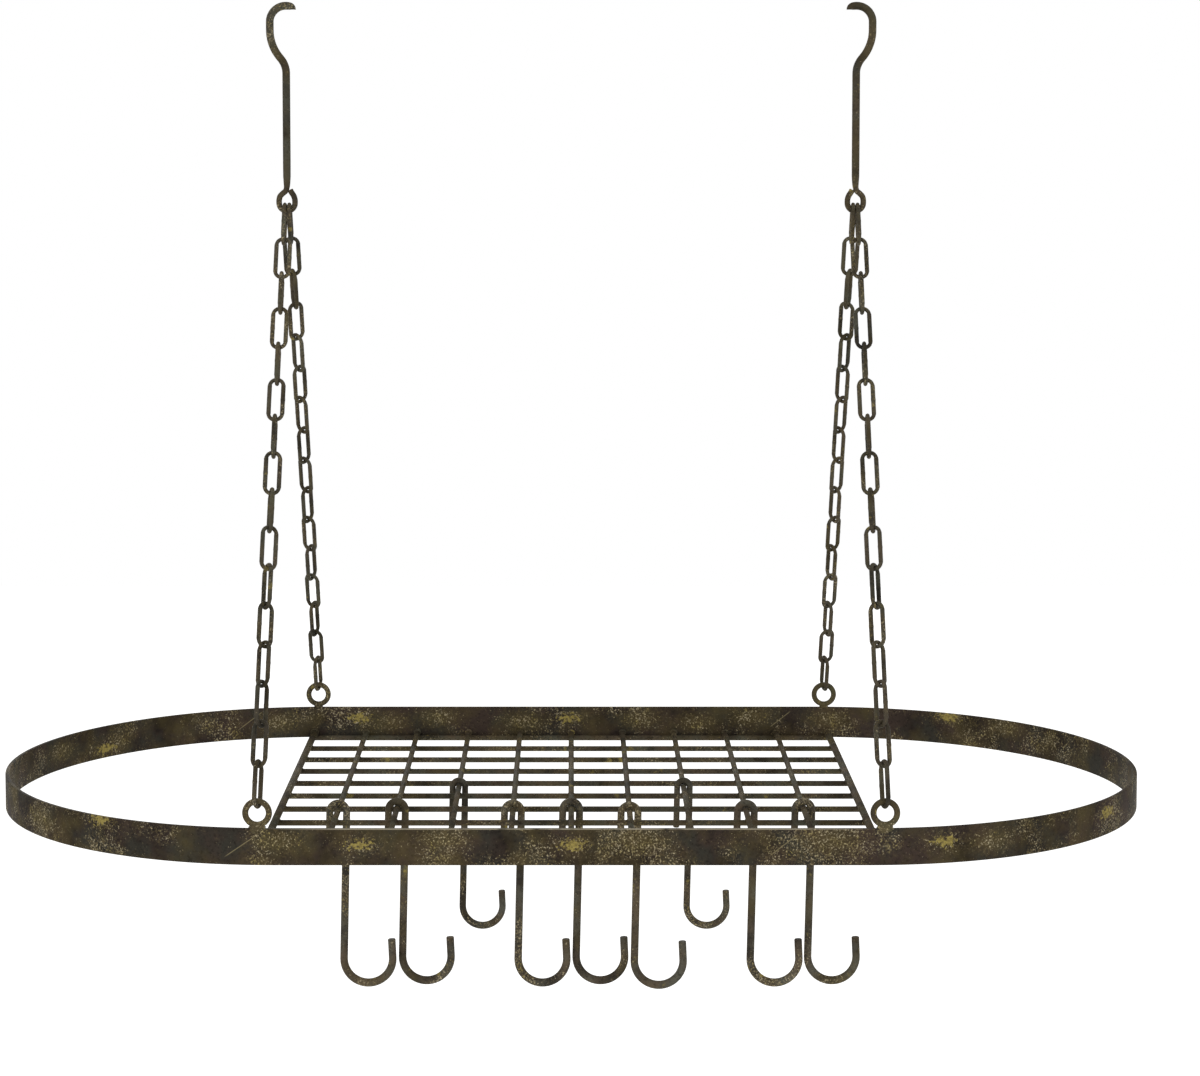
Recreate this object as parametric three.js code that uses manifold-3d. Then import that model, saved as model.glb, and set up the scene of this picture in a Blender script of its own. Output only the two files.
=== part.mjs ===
// A hanging pot rack: an oval steel band with a wire grid shelf, hung on four chains
// from two ceiling hooks, with nine loose pot hooks on the bars of the grid.
//
// Millimetres, +Z up. +X runs along the oval, and the front of the rack faces -Y.
// The origin lies midway between the two points where the ceiling hooks bear on what
// holds them, so the whole rack hangs below Z = 0.

import * as THREE from 'three';
import { mergeVertices } from 'three/addons/utils/BufferGeometryUtils.js';
import Module from 'manifold-3d';

const wasm = await Module();
wasm.setup();

// ---------------------------------------------------------------- driving dimensions

// Oval band: a flat bar bent on edge into two straights and two half circles.
const ovalLength = 838;
const ovalDepth = 437;
const bandHeight = 25;
const bandThickness = 3;
const hangHeight = 559;          // from the ceiling hooks' bearing points down to the band

// Two ceiling hooks, bent from rod, each with an eye at its lower end.
const hookSpacing = 419;
const eyeDrop = 141;             // from the bearing point down to the centre of the eye
const rodDiameter = 5.7;
const crownRadius = 11.8;        // centreline of the bend that hooks over the ceiling eye
const crownTurn = 123;           // degrees
const sideRun = 6.5;             // straight between the crown and the long back bend
const neckTurn = 41;             // degrees out from the shaft and back again
const neckRadius = 17;
const tipLength = 9;             // stretch over which the tip tapers
const tipDiameter = 2.2;
const eyeWire = 4.2;
const eyeStraight = 2.2;         // what makes the eye a little taller than it is wide
const eyeSidePlay = 0.6;         // beside the two links that share an eye

// Four chains of welded links.
const linkWire = 3;
const linkWidth = 12.8;          // outside
const linksPerChain = 16;
const frontTwistStart = 7;       // the front chains hang square down to this link
const rearTwistEnd = 5;          // the rear chains twist most down to this link
const rearEarlyTwist = 44;       // degrees gained by then
const chainTwist = 72;           // degrees gained by the last link

// Four rings, welded on the band's top edge, that the chains end in.
const ringWire = 4;
const ringOutside = 20.2;
const footWidth = 12;            // weld foot along the band
const footCrown = 8;             // its width at the top
const footHeight = 3.4;

// Wire grid, welded in at the foot of the band.
const gridWidth = 422;           // between the centres of the two side bars
const gridBarCount = 11;         // bars that run front to back
const crossWirePitch = 43.6;     // counted forward from the wire at the rear of the band
const gridWire = 4.2;
const sideBarWire = 5.4;
const gridDrop = 2;              // how far the cross wires stand out below the band
const weldSink = 0.3;            // how far crossing bars melt into each other

// Pot hooks. The free leg is the short side of the loop that sits on the bar.
const largeHook = {
  wire: 5.2, loopWidth: 17.4, freeLeg: 38, height: 137.5, cradleWidth: 40.6, tipHeight: 34.6,
};
const smallHook = {
  wire: 4.6, loopWidth: 14, freeLeg: 38, height: 115.3, cradleWidth: 34.6, tipHeight: 29,
};
const cradleTurn = 184;          // degrees: the tip leans in a little
const hookLean = 1.3;            // degrees that the shafts lean to -X
// Each row hangs some way in front of a cross wire, counted from 1 at the rear.
const largeHookRow = { wireNumber: 7, ahead: 18.72 };
const smallHookRow = { wireNumber: 5, ahead: 27.92 };
const rowStagger = 5.9;          // neighbours sit this far apart, so that they swing clear
// Which bar of the grid each hook hangs on, counted from the middle one, and its stagger.
const hookPlaces = [
  { bar: -4, size: largeHook, row: largeHookRow, step: 0 },
  { bar: -3, size: largeHook, row: largeHookRow, step: 1 },
  { bar: -2, size: smallHook, row: smallHookRow, step: 0 },
  { bar: -1, size: largeHook, row: largeHookRow, step: 0 },
  { bar: 0, size: largeHook, row: largeHookRow, step: 1 },
  { bar: 1, size: largeHook, row: largeHookRow, step: -1 },
  { bar: 2, size: smallHook, row: smallHookRow, step: 0 },
  { bar: 3, size: largeHook, row: largeHookRow, step: 0 },
  { bar: 4, size: largeHook, row: largeHookRow, step: 1 },
];

// Clearances.
const seatGap = 0.3;             // where one piece hangs or rests on another
const linkBite = 0.3;            // where two links of the middle of a chain are one piece

// Facets.
const linkSides = 6;
const linkSteps = 8;             // round the bend of a link that something turns on
const quietLinkSteps = 4;        // round the bend of a link in the middle of a chain
const gridSides = 6;
const hookSides = 8;
const ringSides = 6;
const ringSteps = 12;            // round a whole ring
const bandSteps = 40;            // round each half circle of the band

// ------------------------------------------------------------------- derived values

const halfTurn = 180;
const bandOuterRadius = ovalDepth / 2;
const bandInnerRadius = bandOuterRadius - bandThickness;
const bandMiddleRadius = bandOuterRadius - bandThickness / 2;
const halfStraight = ovalLength / 2 - bandOuterRadius;
const bandTop = -hangHeight;
const bandBottom = bandTop - bandHeight;

const linkBend = (linkWidth - linkWire) / 2;
// The front and rear chain of one hook share its eye, side by side.
const chainOffset = (linkWire + seatGap) / 2;
const eyeInnerHalf = chainOffset + linkWire / 2 + eyeSidePlay;
const eyeBend = eyeInnerHalf + eyeWire / 2;
const eyeBottom = -eyeDrop - eyeStraight / 2 - eyeBend;     // centre of the wire there
const eyeTop = -eyeDrop + eyeStraight / 2 + eyeBend;
const linkReach = eyeInnerHalf - linkWire / 2 - seatGap;
const firstLinkRise = eyeBend - Math.sqrt(linkReach ** 2 - chainOffset ** 2);

const ringBend = (ringOutside - ringWire) / 2;
const ringCentre = bandTop + ringOutside / 2 + seatGap;
const ringTop = ringCentre + ringBend;                      // centre of the wire there
const lastLinkDrop = (linkWire + ringWire) / 2 + seatGap;

// A bar of the grid is six-sided with the area of round wire, and its flats face up and
// down. corner and flat are how far those lie from its centre, for a wire of 1 mm radius.
const barCorner = Math.sqrt((2 * Math.PI) / (gridSides * Math.sin((2 * Math.PI) / gridSides)));
const barFlat = barCorner * Math.cos(Math.PI / gridSides);
const crossWireZ = bandBottom + (barFlat * gridWire) / 2 - gridDrop;
const barZ = crossWireZ + barFlat * gridWire - weldSink;
const gridPitchX = gridWidth / (gridBarCount - 1);
const crossLength = gridWidth + sideBarWire;
const middleBar = (gridBarCount - 1) / 2;

const radians = THREE.MathUtils.degToRad;

// Y of an oval at a given X. The circles' centres end its straights.
function ovalY(radius, x) {
  const past = Math.max(0, Math.abs(x) - halfStraight);
  return Math.sqrt(radius ** 2 - past ** 2);
}

// How far out in Y a piece inside the band can reach at X, clear of the band's facets.
function insideBandY(x) {
  const facetSag = bandInnerRadius * (1 - Math.cos(Math.PI / bandSteps / 2));
  return ovalY(bandInnerRadius, x) - facetSag - seatGap;
}

// One cross wire lies along the rear of the band, with as many in front of it as fit.
const rearWireY = insideBandY(crossLength / 2) - (barCorner * gridWire) / 2;
const crossWireCount = 1 + Math.floor((2 * rearWireY) / crossWirePitch);

function crossWireY(number) {
  return rearWireY - (number - 1) * crossWirePitch;
}

// Loose pieces are placed to a whole thousandth of a millimetre.
function toMicron(place) {
  return Math.round(place * 1000) / 1000;
}

// ------------------------------------------------------------------------ materials

// Every piece has the same dark bronze powder coat, a little lighter on worn wire.
function bronze(colour) {
  return new THREE.MeshStandardMaterial({ color: colour, roughness: 0.55, metalness: 0.75 });
}

const bandColour = 0x3a322b;
const gridColour = 0x453a2c;
const chainColour = 0x2f2b28;
const ringColour = 0x4a4030;
const hookColour = 0x3c342c;

function namedMesh(name, geometry, colour) {
  const mesh = new THREE.Mesh(geometry, bronze(colour));
  mesh.name = name;
  return mesh;
}

// ----------------------------------------------------------------------- bent wire

// A flat path of bends and runs in the XZ plane, as stations along the wire's centre.
// heading is in degrees from +X towards +Z. A bend turns left when its angle is positive.
function wirePath(x, z, heading, pieces) {
  const stations = [{ x, z, heading, along: 0 }];
  const move = (run, turn) => {
    const last = stations[stations.length - 1];
    const course = radians(last.heading + turn / 2);
    stations.push({
      x: last.x + run * Math.cos(course),
      z: last.z + run * Math.sin(course),
      heading: last.heading + turn,
      along: last.along + run,
    });
  };
  for (const { run, bend, radius, steps } of pieces) {
    if (run !== undefined) {
      move(run, 0);
      continue;
    }
    const turn = bend / steps;
    const chord = 2 * radius * Math.sin(Math.abs(radians(turn)) / 2);
    for (let step = 0; step < steps; step += 1) {
      move(chord, turn);
    }
  }
  return stations;
}

// A wire of round section along a path, with flat ends, or joined into a loop.
// radiusAt gives the wire's radius at a distance along the path.
function bentWire(stations, radiusAt, sides, closed = false) {
  const rings = closed ? stations.slice(0, -1) : stations;
  const positions = [];
  for (const { x, z, heading, along } of rings) {
    const radius = radiusAt(along);
    const across = radians(heading + 90);
    for (let side = 0; side < sides; side += 1) {
      const angle = (2 * Math.PI * side) / sides;
      const out = radius * Math.cos(angle);
      positions.push(x + out * Math.cos(across), radius * Math.sin(angle), z + out * Math.sin(across));
    }
  }
  const faces = [];
  const spans = closed ? rings.length : rings.length - 1;
  for (let ring = 0; ring < spans; ring += 1) {
    const here = ring * sides;
    const next = ((ring + 1) % rings.length) * sides;
    for (let side = 0; side < sides; side += 1) {
      const turn = (side + 1) % sides;
      faces.push(here + side, next + side, here + turn);
      faces.push(here + turn, next + side, next + turn);
    }
  }
  if (!closed) {
    const last = (rings.length - 1) * sides;
    for (let side = 1; side < sides - 1; side += 1) {
      faces.push(0, side, side + 1);
      faces.push(last, last + side + 1, last + side);
    }
  }
  const geometry = new THREE.BufferGeometry();
  geometry.setAttribute('position', new THREE.Float32BufferAttribute(positions, 3));
  geometry.setIndex(faces);
  return geometry;
}

// A closed loop of wire with two half-circle bends, standing in the XZ plane about the
// origin. straight is the run between the bends' centres, along Z.
function wireLoop(bend, straight, wire, sides, steps) {
  const path = wirePath(bend, -straight / 2, 90, [
    { run: straight },
    { bend: halfTurn, radius: bend, steps },
    { run: straight },
    { bend: halfTurn, radius: bend, steps },
  ]);
  return bentWire(path, () => wire / 2, sides, true);
}

// ---------------------------------------------------------------------- joined solids

function toSolid(geometry) {
  const bare = geometry.clone();
  bare.deleteAttribute('normal');
  bare.deleteAttribute('uv');
  const merged = mergeVertices(bare, 1e-4);
  return new wasm.Manifold(new wasm.Mesh({
    numProp: 3,
    vertProperties: new Float32Array(merged.attributes.position.array),
    triVerts: new Uint32Array(merged.index.array),
  }));
}

function toGeometry(solid) {
  const mesh = solid.getMesh();
  const geometry = new THREE.BufferGeometry();
  geometry.setAttribute('position', new THREE.Float32BufferAttribute(mesh.vertProperties, 3));
  geometry.setIndex(Array.from(mesh.triVerts));
  geometry.computeVertexNormals();
  return geometry;
}

function join(geometries) {
  return toGeometry(geometries.map(toSolid).reduce((whole, piece) => whole.add(piece)));
}

// ------------------------------------------------------------------------------ band

function ovalOutline(path, radius) {
  path.absarc(halfStraight, 0, radius, -Math.PI / 2, Math.PI / 2, false);
  path.absarc(-halfStraight, 0, radius, Math.PI / 2, (3 * Math.PI) / 2, false);
  path.closePath();
  return path;
}

function makeBand() {
  const shape = ovalOutline(new THREE.Shape(), bandOuterRadius);
  shape.holes.push(ovalOutline(new THREE.Path(), bandInnerRadius));
  // An arc is cut into twice as many facets as curveSegments says.
  const geometry = new THREE.ExtrudeGeometry(shape, {
    depth: bandHeight, bevelEnabled: false, curveSegments: bandSteps / 2,
  });
  const band = namedMesh('band', geometry, bandColour);
  band.position.z = bandBottom;
  return band;
}

// ------------------------------------------------------------------------------ grid

// A straight bar about the origin. along is 'x' or 'y'; its flats face up and down.
function straightBar(length, wire, along) {
  const path = wirePath(0, -length / 2, 90, [{ run: length }]);
  const bar = bentWire(path, () => (barCorner * wire) / 2, gridSides);
  // The path runs along Z. Laid down along Y, the corners of its section point to +-X.
  bar.rotateX(-Math.PI / 2);
  if (along === 'x') {
    bar.rotateZ(-Math.PI / 2);
  }
  return bar;
}

function makeGrid() {
  const bars = [];
  for (let index = -middleBar; index <= middleBar; index += 1) {
    const side = Math.abs(index) === middleBar;
    const wire = side ? sideBarWire : gridWire;
    const x = index * gridPitchX;
    const reach = insideBandY(Math.abs(x) + wire / 2);
    bars.push(straightBar(2 * reach, wire, 'y').translate(x, 0, barZ));
  }
  for (let number = 1; number <= crossWireCount; number += 1) {
    const cross = straightBar(crossLength, gridWire, 'x');
    bars.push(cross.translate(0, crossWireY(number), crossWireZ));
  }
  return namedMesh('grid', join(bars), gridColour);
}

// ----------------------------------------------------------------------------- rings

function makeRing(name, x, y) {
  const loop = wireLoop(ringBend, 0, ringWire, ringSides, ringSteps / 2);
  loop.translate(0, 0, ringCentre - bandTop);
  const profile = new THREE.Shape();
  profile.moveTo(-footWidth / 2, 0);
  profile.lineTo(footWidth / 2, 0);
  profile.lineTo(footCrown / 2, footHeight);
  profile.lineTo(-footCrown / 2, footHeight);
  profile.closePath();
  const foot = new THREE.ExtrudeGeometry(profile, { depth: bandThickness, bevelEnabled: false });
  foot.translate(0, 0, -bandThickness / 2);
  foot.rotateX(Math.PI / 2);
  const ring = namedMesh(name, join([loop, foot]), ringColour);
  ring.position.set(x, y, bandTop);
  return ring;
}

// --------------------------------------------------------------------- ceiling hooks

// side is -1 for the left hook and +1 for the right one: each bulges outwards.
function makeCeilingHook(name, side) {
  const backRadius = crownRadius / (1 - Math.cos(radians(neckTurn))) - neckRadius;
  const neckRise = (neckRadius + backRadius) * Math.sin(radians(neckTurn));
  const shaftTop = rodDiameter / 2 - crownRadius - sideRun - neckRise;
  const path = wirePath(0, eyeTop, 90, [
    { run: shaftTop - eyeTop },
    { bend: -side * neckTurn, radius: neckRadius, steps: 3 },
    { bend: side * neckTurn, radius: backRadius, steps: 4 },
    { run: sideRun },
    { bend: side * crownTurn, radius: crownRadius, steps: 8 },
  ]);
  const end = path[path.length - 1].along;
  const radiusAt = (along) => {
    const share = Math.min(1, (end - along) / tipLength);
    return (tipDiameter + (rodDiameter - tipDiameter) * share) / 2;
  };
  const rod = bentWire(path, radiusAt, hookSides);
  const eye = wireLoop(eyeBend, eyeStraight, eyeWire, hookSides, linkSteps);
  eye.translate(0, 0, -eyeDrop);
  const hook = namedMesh(name, join([rod, eye]), hookColour);
  hook.position.x = (side * hookSpacing) / 2;
  return hook;
}

// ---------------------------------------------------------------------------- chains

// Two neighbours in the middle of a chain, such as links 3 and 4, are one piece.
function joinsNext(link) {
  return link >= 3 && link < linksPerChain - 2 && link % 2 === 1;
}

// Degrees that a link has turned about the chain's line beyond its quarter turns.
function frontTwist(link) {
  const turned = Math.max(0, link - frontTwistStart);
  return (chainTwist * turned) / (linksPerChain - frontTwistStart);
}

function rearTwist(link) {
  if (link <= rearTwistEnd) {
    return (rearEarlyTwist * (link - 1)) / (rearTwistEnd - 1);
  }
  const share = (link - rearTwistEnd) / (linksPerChain - rearTwistEnd);
  return rearEarlyTwist + (chainTwist - rearEarlyTwist) * share;
}

// A chain from the eye of a ceiling hook to a ring. side and face give its corner.
function makeChain(prefix, side, face) {
  const x = side * (hookSpacing / 2 - face * chainOffset);
  const top = new THREE.Vector3(x, 0, eyeBottom);
  const bottom = new THREE.Vector3(x, face * ovalY(bandMiddleRadius, x), ringTop);
  const line = new THREE.Vector3().subVectors(bottom, top);

  // Steps from one link's lower bend back up to the next link's upper bend.
  const steps = [];
  for (let link = 1; link < linksPerChain; link += 1) {
    steps.push(linkWire + (joinsNext(link) ? -linkBite : seatGap));
  }
  const stepsBack = steps.reduce((sum, step) => sum + step, 0);
  const linkRun = (line.length() + firstLinkRise + lastLinkDrop + stepsBack) / linksPerChain;

  const chain = new THREE.Group();
  chain.position.copy(top);
  const up = line.clone().normalize().negate();
  const across = new THREE.Vector3(1, 0, 0);
  const flat = new THREE.Vector3().crossVectors(across, up);
  chain.setRotationFromMatrix(new THREE.Matrix4().makeBasis(flat, across, up));

  const oneLink = (fineness) => (
    wireLoop(linkBend, linkRun - 2 * linkBend, linkWire, linkSides, fineness)
  );
  const twistOf = face < 0 ? frontTwist : rearTwist;
  const turnOf = (link) => radians(90 * (link - 1) - side * twistOf(link));

  let centre = linkRun / 2 - firstLinkRise;
  for (let link = 1; link <= linksPerChain; link += 1) {
    const number = String(link).padStart(2, '0');
    const toNext = linkRun - (steps[link - 1] ?? 0);
    let mesh;
    let drop = toNext;
    if (joinsNext(link)) {
      const first = oneLink(quietLinkSteps);
      const second = oneLink(quietLinkSteps);
      second.rotateZ(turnOf(link + 1) - turnOf(link));
      second.translate(0, 0, -toNext);
      const pair = String(link + 1).padStart(2, '0');
      mesh = namedMesh(`${prefix}_links_${number}_${pair}`, join([first, second]), chainColour);
      drop += linkRun - steps[link];
    } else {
      mesh = namedMesh(`${prefix}_link_${number}`, oneLink(linkSteps), chainColour);
    }
    mesh.position.z = -centre;
    mesh.rotation.z = turnOf(link);
    chain.add(mesh);
    centre += drop;
    if (joinsNext(link)) {
      link += 1;
    }
  }
  return chain;
}

// ------------------------------------------------------------------------- pot hooks

// The hook is drawn about the centre of the bar that it hangs on.
function makePotHook(name, { bar, size, row, step }) {
  const { wire, loopWidth, freeLeg, height, cradleWidth, tipHeight } = size;
  const loopBend = (loopWidth - wire) / 2;
  const cradleBend = (cradleWidth - wire) / 2;
  const loopTop = gridWire / 2 + seatGap + wire / 2;
  const loopCentre = loopTop - loopBend;
  const legRun = freeLeg - wire / 2 - loopBend;
  const shaftRun = height - wire - loopBend - cradleBend;
  const tipRun = tipHeight - wire / 2 - cradleBend;
  const path = wirePath(-loopBend, loopCentre - legRun, 90, [
    { run: legRun },
    { bend: -halfTurn, radius: loopBend, steps: 6 },
    { run: shaftRun },
    { bend: cradleTurn, radius: cradleBend, steps: 8 },
    { run: tipRun },
  ]);
  const hook = namedMesh(name, bentWire(path, () => wire / 2, hookSides), hookColour);
  const rowY = toMicron(crossWireY(row.wireNumber) - row.ahead);
  hook.position.set(bar * gridPitchX, rowY + step * rowStagger, barZ);
  hook.rotation.y = radians(hookLean);
  return hook;
}

// -------------------------------------------------------------------------- assembly

const rack = new THREE.Group();
rack.add(makeBand());
rack.add(makeGrid());
for (const [sideName, side] of [['left', -1], ['right', 1]]) {
  rack.add(makeCeilingHook(`ceiling_hook_${sideName}`, side));
  for (const [faceName, face] of [['front', -1], ['rear', 1]]) {
    const corner = `${faceName}_${sideName}`;
    const x = side * (hookSpacing / 2 - face * chainOffset);
    rack.add(makeRing(`ring_${corner}`, x, face * ovalY(bandMiddleRadius, x)));
    rack.add(makeChain(corner, side, face));
  }
}
hookPlaces.forEach((place, index) => {
  rack.add(makePotHook(`pot_hook_${index + 1}`, place));
});

export default rack;
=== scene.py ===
# %% [markdown]
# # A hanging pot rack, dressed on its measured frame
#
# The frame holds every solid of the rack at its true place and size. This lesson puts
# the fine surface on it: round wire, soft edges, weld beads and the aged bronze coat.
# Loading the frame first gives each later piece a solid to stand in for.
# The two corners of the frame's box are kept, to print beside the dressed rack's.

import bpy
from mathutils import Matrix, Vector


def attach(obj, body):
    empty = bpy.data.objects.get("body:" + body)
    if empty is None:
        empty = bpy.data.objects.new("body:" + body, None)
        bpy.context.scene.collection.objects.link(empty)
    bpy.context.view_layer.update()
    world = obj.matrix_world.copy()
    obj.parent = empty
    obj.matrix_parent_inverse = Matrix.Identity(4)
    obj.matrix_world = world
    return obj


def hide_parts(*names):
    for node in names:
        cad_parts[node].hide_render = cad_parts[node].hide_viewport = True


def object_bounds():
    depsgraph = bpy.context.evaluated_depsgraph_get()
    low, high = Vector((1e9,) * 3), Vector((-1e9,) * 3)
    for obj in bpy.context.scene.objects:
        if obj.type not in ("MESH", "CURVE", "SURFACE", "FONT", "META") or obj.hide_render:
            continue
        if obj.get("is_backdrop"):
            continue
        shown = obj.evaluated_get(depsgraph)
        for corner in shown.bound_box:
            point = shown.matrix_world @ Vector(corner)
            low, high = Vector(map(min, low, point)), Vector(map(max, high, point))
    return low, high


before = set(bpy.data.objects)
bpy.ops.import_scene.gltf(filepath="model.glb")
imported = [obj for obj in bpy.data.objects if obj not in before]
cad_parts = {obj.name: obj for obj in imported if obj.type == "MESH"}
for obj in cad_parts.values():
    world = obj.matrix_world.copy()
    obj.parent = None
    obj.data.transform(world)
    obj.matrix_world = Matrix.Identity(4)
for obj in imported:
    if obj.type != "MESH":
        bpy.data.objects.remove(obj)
frame_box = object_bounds()

# %% [markdown]
# ## Units and colour
#
# The rack is drawn in millimetres, as a metalworker would measure it, and Blender works
# in metres, so one factor turns the first into the second. Colours are easiest to pick
# as the hex codes of a screen, but a shader needs linear light, which the small function
# below works out. Doing it in one place keeps every finish on the same scale.

# %% Millimetres and colours
import math

import bmesh
import bpy
from mathutils import Matrix, Vector, noise

MM = 0.001


def linear(code):
    """A hex colour such as '#3a322b' as the linear colour that a shader socket takes."""
    channels = [int(code[place:place + 2], 16) / 255 for place in (1, 3, 5)]
    bent = [c / 12.92 if c <= 0.04045 else ((c + 0.055) / 1.055) ** 2.4 for c in channels]
    return (*bent, 1.0)


print("bronze black in linear light:", [round(c, 4) for c in linear("#352f25")])

# %% [markdown]
# ## The camera
#
# A product photograph of a wide, flat thing is taken from far off with a long lens, a
# little above the rim, so that the oval opens up and the hooks still hang straight. The
# camera's distance, height and lens were found by fitting the rack's known points to
# the photograph. Rather more than half of the look down comes from tilting the camera.
# The rest is a shift of the lens, which leaves the hanging rods upright.

# %% Place the camera
SENSOR_WIDTH, LENS = 36.0, 86.03                                 # millimetres
LENS_SHIFT_X, LENS_SHIFT_Y = 0.024, -0.14                        # shares of the picture's width
CAMERA_PLACE, CAMERA_DIP = (0.0, -2.1181, -0.1143), 0.0713       # metres and radians

photo_camera = bpy.data.objects.new("photo_camera", bpy.data.cameras.new("photo_camera"))
bpy.context.scene.collection.objects.link(photo_camera)
bpy.context.scene.camera = photo_camera
photo_camera.data.sensor_width = SENSOR_WIDTH
photo_camera.data.lens = LENS
photo_camera.data.shift_x = LENS_SHIFT_X
photo_camera.data.shift_y = LENS_SHIFT_Y
photo_camera.location = CAMERA_PLACE
photo_camera.rotation_euler = (math.pi / 2 - CAMERA_DIP, 0.0, 0.0)
print("camera stands", round(-photo_camera.location.y, 3), "m in front of the rack's middle")

# %% [markdown]
# ## A few functions for shader nodes
#
# A finish is a small graph of nodes. Each node takes settings of its own, and inputs
# that are either plain numbers or another node's output. One function adds any node with
# both. Sums and ramps come up so often that two more give just their result, which lets
# a graph be read like a formula.

# %% Add a node


def add_node(tree, kind, inputs=None, **settings):
    """Adds one node. inputs maps a socket's name or number to a value or to an output."""
    node = tree.nodes.new(kind)
    for name, value in settings.items():
        setattr(node, name, value)
    for socket, value in (inputs or {}).items():
        if isinstance(value, bpy.types.NodeSocket):
            tree.links.new(value, node.inputs[socket])
        else:
            node.inputs[socket].default_value = value
    return node


def calculate(tree, operation, *values):
    """The result of a Math node."""
    sum_node = add_node(tree, "ShaderNodeMath", dict(enumerate(values)), operation=operation)
    return sum_node.outputs[0]


def ramp(tree, value, start=0.0, end=1.0, low=0.0, high=1.0):
    """From low to high while the value goes from start to end, and level beyond them."""
    ends = {"From Min": start, "From Max": end, "To Min": low, "To Max": high}
    return add_node(tree, "ShaderNodeMapRange", {"Value": value, **ends}).outputs[0]


def seen_directly(tree):
    """1 where a surface is looked at, straight or mirrored, and 0 where it only lights."""
    path = add_node(tree, "ShaderNodeLightPath")
    seen = path.outputs["Is Camera Ray"]
    for ray in ("Is Glossy Ray", "Is Transmission Ray"):
        seen = calculate(tree, "MAXIMUM", seen, path.outputs[ray])
    return seen


def new_material(name):
    """An empty material and its node tree."""
    material = bpy.data.materials.new(name)
    material.use_nodes = True
    material.node_tree.nodes.clear()
    return material, material.node_tree


print("node helpers ready")

# %% [markdown]
# ## Floor and light
#
# The rack hangs about two metres above a plain pale floor, in front of white. The floor
# is an ordinary matt surface, so it keeps the rack's shadow, and a little light of its
# own, seen only by the camera and by reflections, lifts it to the white of the studio.
# The lamps stay at a plain level, at which a colour comes out about as it is written.

# %% Lay the floor
FLOOR_BELOW_HOOKS = 2200.0                                       # millimetres
FLOOR_REACH, FLOOR_GLOW = 12.0, 0.62                             # metres, and share of full white

floor_mesh = bpy.data.meshes.new("studio_floor")
corners = [(x * FLOOR_REACH, y * FLOOR_REACH, 0) for x, y in ((-1, -1), (1, -1), (1, 1), (-1, 1))]
floor_mesh.from_pydata(corners, [], [(0, 1, 2, 3)])
studio_floor = bpy.data.objects.new("studio_floor", floor_mesh)
studio_floor.location.z = -FLOOR_BELOW_HOOKS * MM
bpy.context.scene.collection.objects.link(studio_floor)
studio_floor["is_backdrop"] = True

floor_paint, tree = new_material("matt_white_floor")
matt = add_node(tree, "ShaderNodeBsdfDiffuse", {"Color": linear("#e6e6e4")})
lift = calculate(tree, "MULTIPLY", seen_directly(tree), FLOOR_GLOW)
glow = add_node(tree, "ShaderNodeEmission", {"Color": linear("#ffffff"), "Strength": lift})
both = add_node(tree, "ShaderNodeAddShader", {0: matt.outputs[0], 1: glow.outputs[0]})
add_node(tree, "ShaderNodeOutputMaterial", {"Surface": both.outputs[0]})
floor_mesh.materials.append(floor_paint)
print("floor lies", FLOOR_BELOW_HOOKS, "mm below the ceiling hooks")

# %% [markdown]
# ## The white surround and the lamps
#
# White paper round the set does two jobs: it is the background, and it is what the
# satin coat mirrors at its edges, so the camera and the reflections see it at full
# white, while as a light on the rack it is weaker. One broad lamp from the left models the
# round wires, a weaker one fills the other side, and one behind lights the far side, for
# the views from there. They stand low, so the bars' tops come out as dark as their sides.

# %% Light the set
PAPER_LIGHT, PAPER_WHITE = 0.78, 1.0
RACK_MIDDLE = Vector((0.0, 0.0, -0.45))
LAMP_SIDE = 2.6                                                  # metres
# Each: its place in metres, and its power in watts.
LAMPS = {
    "broad_lamp_left": ((-2.6, -4.6, 0.0), 80.0),
    "fill_lamp_right": ((3.9, -3.7, -0.2), 46.0),
    "rear_lamp": ((-0.9, 4.9, -0.1), 46.0),
}

surround = bpy.data.worlds.new("white_surround")
bpy.context.scene.world = surround
surround.use_nodes = True
tree = surround.node_tree
tree.nodes.clear()
strength = ramp(tree, seen_directly(tree), low=PAPER_LIGHT, high=PAPER_WHITE)
paper = add_node(tree, "ShaderNodeBackground", {"Color": linear("#ffffff"), "Strength": strength})
add_node(tree, "ShaderNodeOutputWorld", {"Surface": paper.outputs[0]})

for name, (place, watts) in LAMPS.items():
    lamp = bpy.data.objects.new(name, bpy.data.lights.new(name, "AREA"))
    lamp.data.shape = "SQUARE"
    lamp.data.size = LAMP_SIDE
    lamp.data.energy = watts
    lamp.location = place
    lamp.rotation_euler = (RACK_MIDDLE - Vector(place)).to_track_quat("-Z", "Y").to_euler()
    bpy.context.scene.collection.objects.link(lamp)
    print(name, watts, "W")

bpy.context.scene.view_settings.view_transform = "Standard"

# %% [markdown]
# ## The oval
#
# The band is an oval of two straights and two half circles, 838 by 437 mm outside. Its
# sizes come before the finish, because some marks in the coat have a place along it.
# Heights are measured down from the points on which the ceiling hooks bear.

# %% Sizes of the oval
OVAL_LENGTH, OVAL_DEPTH = 838.0, 437.0
BAND_HEIGHT, BAND_THICKNESS, BAND_CORNER = 25.0, 3.0, 0.55
HANG_HEIGHT = 559.0
BAND_TOP = -HANG_HEIGHT
BAND_MIDDLE_RADIUS = OVAL_DEPTH / 2 - BAND_THICKNESS / 2
BAND_INSIDE = OVAL_DEPTH / 2 - BAND_THICKNESS
HALF_STRAIGHT = OVAL_LENGTH / 2 - OVAL_DEPTH / 2


def oval_y(x, radius):
    """Y at this X of the line that runs round the oval at this radius."""
    return math.sqrt(radius ** 2 - max(0.0, abs(x) - HALF_STRAIGHT) ** 2)


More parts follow.
